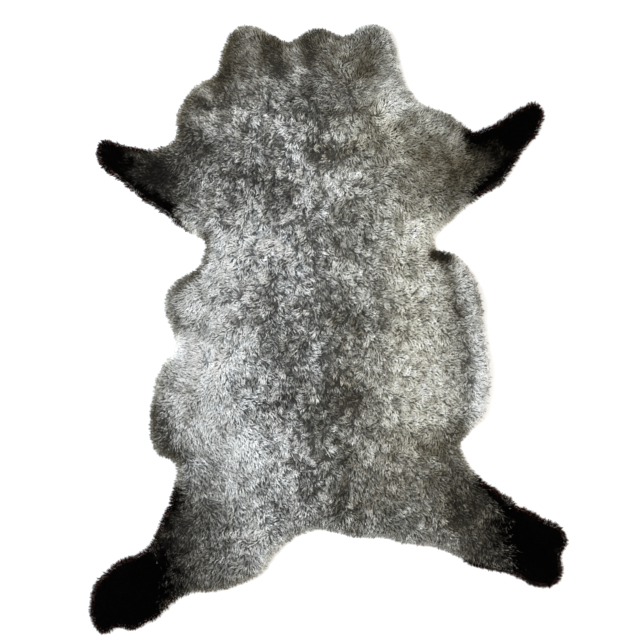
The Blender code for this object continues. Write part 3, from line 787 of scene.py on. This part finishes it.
def strand_places(pelt, tufts, k, rng):
    """Root, middle left, middle right and tip of a strand in each of the tufts k."""
    count = len(k)
    way = directions(tufts.angle[k])
    across = np.column_stack([-way[:, 1], way[:, 0]])
    turn = rng.uniform(0, 2 * math.pi, count)
    spread = (tufts.radius[k] * np.sqrt(rng.random(count)))[:, None] * directions(turn)
    root = tufts.centre[k] + spread
    back = np.clip(ROOT_INSET - pelt.inset.at(root), 0, None)
    root -= back[:, None] * np.column_stack([pelt.out_x.at(root), pelt.out_y.at(root)])
    length = tufts.lean[k] * rng.uniform(*LENGTH_SPREAD, count)
    tip = tufts.centre[k] + TUFT_GATHER * spread + length[:, None] * way
    tip += rng.normal(0, TIP_SCATTER, tip.shape)
    middle = root + (tip - root) * rng.uniform(*MIDDLE_PLACE, count)[:, None]
    middle += (tufts.bend[k] + rng.normal(0, MIDDLE_SCATTER, count))[:, None] * across

    depth = ROOT_DEPTH * pelt.height(root) * rng.uniform(*DEPTH_SPREAD, count)
    root_z = pelt.wool.at(root) + tufts.rise[k] - depth
    tip_z = pelt.wool.at(tip) + tufts.rise[k] + rng.uniform(*TIP_RISE, count) * MM
    tip_z = np.maximum(tip_z, rng.uniform(*LOWEST_TIP, count) * MM)
    middle_z = root_z + (tip_z - root_z) * rng.uniform(*MIDDLE_RISE, count)

    root = np.column_stack([root, root_z])
    middle = np.column_stack([middle, middle_z])
    tip = np.column_stack([tip, tip_z])
    axis = tip - root
    axis /= np.linalg.norm(axis, axis=1)[:, None]
    side = np.cross(axis, (0.0, 0.0, 1.0))
    side /= np.linalg.norm(side, axis=1)[:, None] + TINY
    tilt = rng.uniform(-STRAND_TILT, STRAND_TILT, count)[:, None]
    side = np.cos(tilt) * side + np.sin(tilt) * np.cross(side, axis)
    half = (STRAND_WIDTH / 2 * rng.uniform(*WIDTH_SPREAD, count))[:, None] * side
    places = np.stack((root, middle - half, middle + half, tip), axis=1)
    places[:, :, 2] = np.maximum(places[:, :, 2], LOWEST_POINT)
    return places


def strand_colours(pelt, tufts, k, roots, rng):
    """Colours of the same four points of each strand."""
    count = len(k)
    wool_colour = tufts.colour[k] * (2.0 ** rng.normal(0, STRAND_SHADE, count))[:, None]
    at_edge = smooth(1 - pelt.inset.at(roots) / BROWN_RIM_WIDTH)
    brown = (rng.random(count) < BROWN_RIM_SHARE * at_edge)[:, None]
    hair = np.where(brown, BROWN_HAIR, BLACK_HAIR) * (2.0 ** rng.normal(0, HAIR_SHADE, count))[:, None]
    dark = (rng.random(count) < tufts.dark[k])[:, None]
    colour = np.where(dark, hair, wool_colour)
    # Painted shade, deepest at each strand's root
    colours = colour[:, None, :] * np.array(STRAND_PAINTED_SHADE)[None, :, None]
    return np.clip(colours, 0, PALEST)


def wool_piece(name, places, colours):
    """A mesh of strands, each of two triangles, with a cell of its own on the map of the surface."""
    count = len(places)
    # Root, right, left; then left, right, tip
    turns = [0, 2, 1, 1, 2, 3]
    corners = np.arange(count)[:, None] * 4 + np.array(turns)
    mesh = bpy.data.meshes.new(name)
    mesh.vertices.add(count * 4)
    mesh.vertices.foreach_set("co", places.ravel())
    mesh.loops.add(count * 6)
    mesh.loops.foreach_set("vertex_index", corners.ravel().astype(np.int32))
    mesh.polygons.add(count * 2)
    mesh.polygons.foreach_set("loop_start", np.arange(0, count * 6, 3, dtype=np.int32))
    mesh.update(calc_edges=True)
    paint(mesh, "wool_colour", colours.reshape(-1, 3))

    cells = math.ceil(math.sqrt(count))
    cell = np.column_stack([np.arange(count) % cells, np.arange(count) // cells])
    shape = np.array([(0.5, 0.05), (0.05, 0.5), (0.95, 0.5), (0.5, 0.95)])
    spots = (cell[:, None, :] + shape[None]) / cells
    uv = spots[:, turns]
    layer = mesh.uv_layers.new(name="OFBake")
    layer.data.foreach_set("uv", uv.astype(np.float32).ravel())
    return link(name, mesh)


def node_material(name, roughness, specular):
    made = bpy.data.materials.new(name)
    made.use_nodes = True
    tree = made.node_tree
    shader = tree.nodes["Principled BSDF"]
    shader.inputs["Roughness"].default_value = roughness
    shader.inputs["Specular IOR Level"].default_value = specular
    return made, tree, shader


def noise_node(tree, scale, detail):
    coordinates = tree.nodes.new("ShaderNodeTexCoord")
    made = tree.nodes.new("ShaderNodeTexNoise")
    made.inputs["Scale"].default_value = scale
    made.inputs["Detail"].default_value = detail
    made.inputs["Roughness"].default_value = 0.6
    tree.links.new(coordinates.outputs["Object"], made.inputs["Vector"])
    return made.outputs["Fac"]


def painted_colour(tree):
    colour = tree.nodes.new("ShaderNodeAttribute")
    colour.attribute_name = "wool_colour"
    return colour.outputs["Color"]


def varied(tree, colour, source, least, most):
    """The colour times a factor that follows the source from least to most."""
    factor = tree.nodes.new("ShaderNodeMapRange")
    factor.inputs["From Min"].default_value = 0.3
    factor.inputs["From Max"].default_value = 0.7
    factor.inputs["To Min"].default_value = least
    factor.inputs["To Max"].default_value = most
    tree.links.new(source, factor.inputs["Value"])
    scaled = tree.nodes.new("ShaderNodeVectorMath")
    scaled.operation = "SCALE"
    tree.links.new(colour, scaled.inputs[0])
    tree.links.new(factor.outputs["Result"], scaled.inputs["Scale"])
    return scaled.outputs["Vector"]


def bump(tree, shader, source, strength, distance):
    made = tree.nodes.new("ShaderNodeBump")
    made.inputs["Strength"].default_value = strength
    made.inputs["Distance"].default_value = distance
    tree.links.new(source, made.inputs["Height"])
    tree.links.new(made.outputs["Normal"], shader.inputs["Normal"])


def strand_material():
    """Wool strands: their own colour, a little uneven along each strand, with hardly any shine."""
    made, tree, shader = node_material("wool_strands", roughness=0.7, specular=0.01)
    streaks = noise_node(tree, scale=420, detail=2)
    colour = varied(tree, painted_colour(tree), streaks, least=0.78, most=1.22)
    tree.links.new(colour, shader.inputs["Base Color"])
    return made


def under_wool_material():
    """The dense wool between the tufts, painted dark as shade, since little light reaches it."""
    made, tree, shader = node_material("under_wool", roughness=0.95, specular=0.05)
    clumps = noise_node(tree, scale=260, detail=5)
    colour = varied(tree, painted_colour(tree), clumps, least=0.55, most=1.35)
    tree.links.new(colour, shader.inputs["Base Color"])
    bump(tree, shader, clumps, strength=0.6, distance=1.2 * MM)
    return made


def skin_material():
    """Sueded skin: cream, mottled, with a short nap."""
    made, tree, shader = node_material("sueded_skin", roughness=0.9, specular=0.15)
    mottle = noise_node(tree, scale=22, detail=6)
    ramp = tree.nodes.new("ShaderNodeValToRGB")
    dark, light = ramp.color_ramp.elements
    dark.position, dark.color = 0.32, (0.50, 0.41, 0.31, 1)
    light.position, light.color = 0.68, (0.70, 0.62, 0.51, 1)
    tree.links.new(mottle, ramp.inputs["Fac"])
    nap = noise_node(tree, scale=900, detail=4)
    colour = varied(tree, ramp.outputs["Color"], nap, least=0.88, most=1.1)
    tree.links.new(colour, shader.inputs["Base Color"])
    bump(tree, shader, nap, strength=0.35, distance=0.4 * MM)
    return made


def build_skin(pelt):
    def under(points):
        return pelt.lift.at(points)

    def top(points):
        return pelt.lift.at(points) + SKIN_THICKNESS

    skin = plate("skin", pelt, SKIN_INSET, SKIN_SPACING, top, under)
    skin.data.materials.append(skin_material())
    return skin


def build_under_wool(pelt):
    def under(points):
        return pelt.lift.at(points) + (SKIN_THICKNESS + UNDER_WOOL_GAP)

    def top(points):
        above = UNDER_WOOL_DEPTH * pelt.height(points)
        return np.maximum(pelt.wool.at(points) - above, under(points) + UNDER_WOOL_THINNEST)

    made = plate("under_wool", pelt, UNDER_WOOL_INSET, UNDER_WOOL_SPACING, top, under)
    places = np.empty(len(made.data.vertices) * 3)
    made.data.vertices.foreach_get("co", places)
    flat = places.reshape(-1, 3)[:, :2]
    dark = darkness_at(flat)[:, None]
    # The under-wool's grey is the tufts' colour darkened as painted shade
    grey = UNDER_WOOL_PAINTED_SHADE * colour_at(warmth_at(pelt, flat), shade_at(flat))
    paint(made.data, "wool_colour", grey * (1 - dark) + BLACK_HAIR * dark)
    made.data.materials.append(under_wool_material())
    return made


def build_wool(pelt):
    """All the strands, in one joined mesh for each band of the pelt from its left to its right."""
    rng = np.random.default_rng(SEED)
    tufts = Tufts(pelt, rng)
    order = np.argsort(tufts.centre[:, 0])
    material = strand_material()
    pieces = []
    for name, chosen in zip(WOOL_PIECES, np.array_split(order, len(WOOL_PIECES))):
        k = np.repeat(chosen, STRANDS_PER_TUFT)
        places = strand_places(pelt, tufts, k, rng)
        colours = strand_colours(pelt, tufts, k, places[:, 0, :2], rng)
        piece = wool_piece(f"wool_{name}", places, colours)
        piece.data.materials.append(material)
        pieces.append(piece)
    return pieces


def build_stage():
    """A pale floor without an edge in sight, an even sky, and a soft lamp to each side."""
    mesh = bpy.data.meshes.new("floor")
    corners = [(FLOOR_REACH * x, FLOOR_REACH * y, 0) for x, y in ((-1, -1), (1, -1), (1, 1), (-1, 1))]
    mesh.from_pydata(corners, [], [(0, 1, 2, 3)])
    floor = link("floor", mesh)
    made, _, shader = node_material("pale_floor", roughness=0.9, specular=0.1)
    shader.inputs["Base Color"].default_value = FLOOR_COLOUR
    mesh.materials.append(made)

    world = bpy.data.worlds.new("studio")
    world.use_nodes = True
    background = world.node_tree.nodes["Background"]
    background.inputs["Color"].default_value = (1, 1, 1, 1)
    background.inputs["Strength"].default_value = SKY_LIGHT
    bpy.context.scene.world = world

    for row in LAMPS:
        lamp = link(row.name, bpy.data.lights.new(row.name, "AREA"))
        lamp.data.energy = row.power
        lamp.data.size = row.size
        lamp.data.color = row.colour
        lamp.location = row.place
        lamp.rotation_euler = (-Vector(row.place)).to_track_quat("-Z", "Y").to_euler()


def build_camera():
    """Straight above, with the pelt as large and as far off the middle as in the photo."""
    camera = link("camera", bpy.data.cameras.new("camera"))
    camera.location = CAMERA_PLACE
    camera.data.sensor_width = SENSOR_WIDTH
    camera.data.lens = SENSOR_WIDTH * (CAMERA_PLACE[2] - SEEN_HEIGHT) / SEEN_WIDTH
    bpy.context.scene.camera = camera
    bpy.context.scene.view_settings.view_transform = "Standard"


build_camera()
build_stage()
pelt = Pelt()
skin = build_skin(pelt)
under_wool = build_under_wool(pelt)
wool = build_wool(pelt)
for piece in (skin, under_wool, *wool):
    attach(piece, "root")
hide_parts("sheepskin")
# The skin's box is the outline's, less its inset on each side
skin_area = sum(face.area for face in skin.data.polygons) / 2
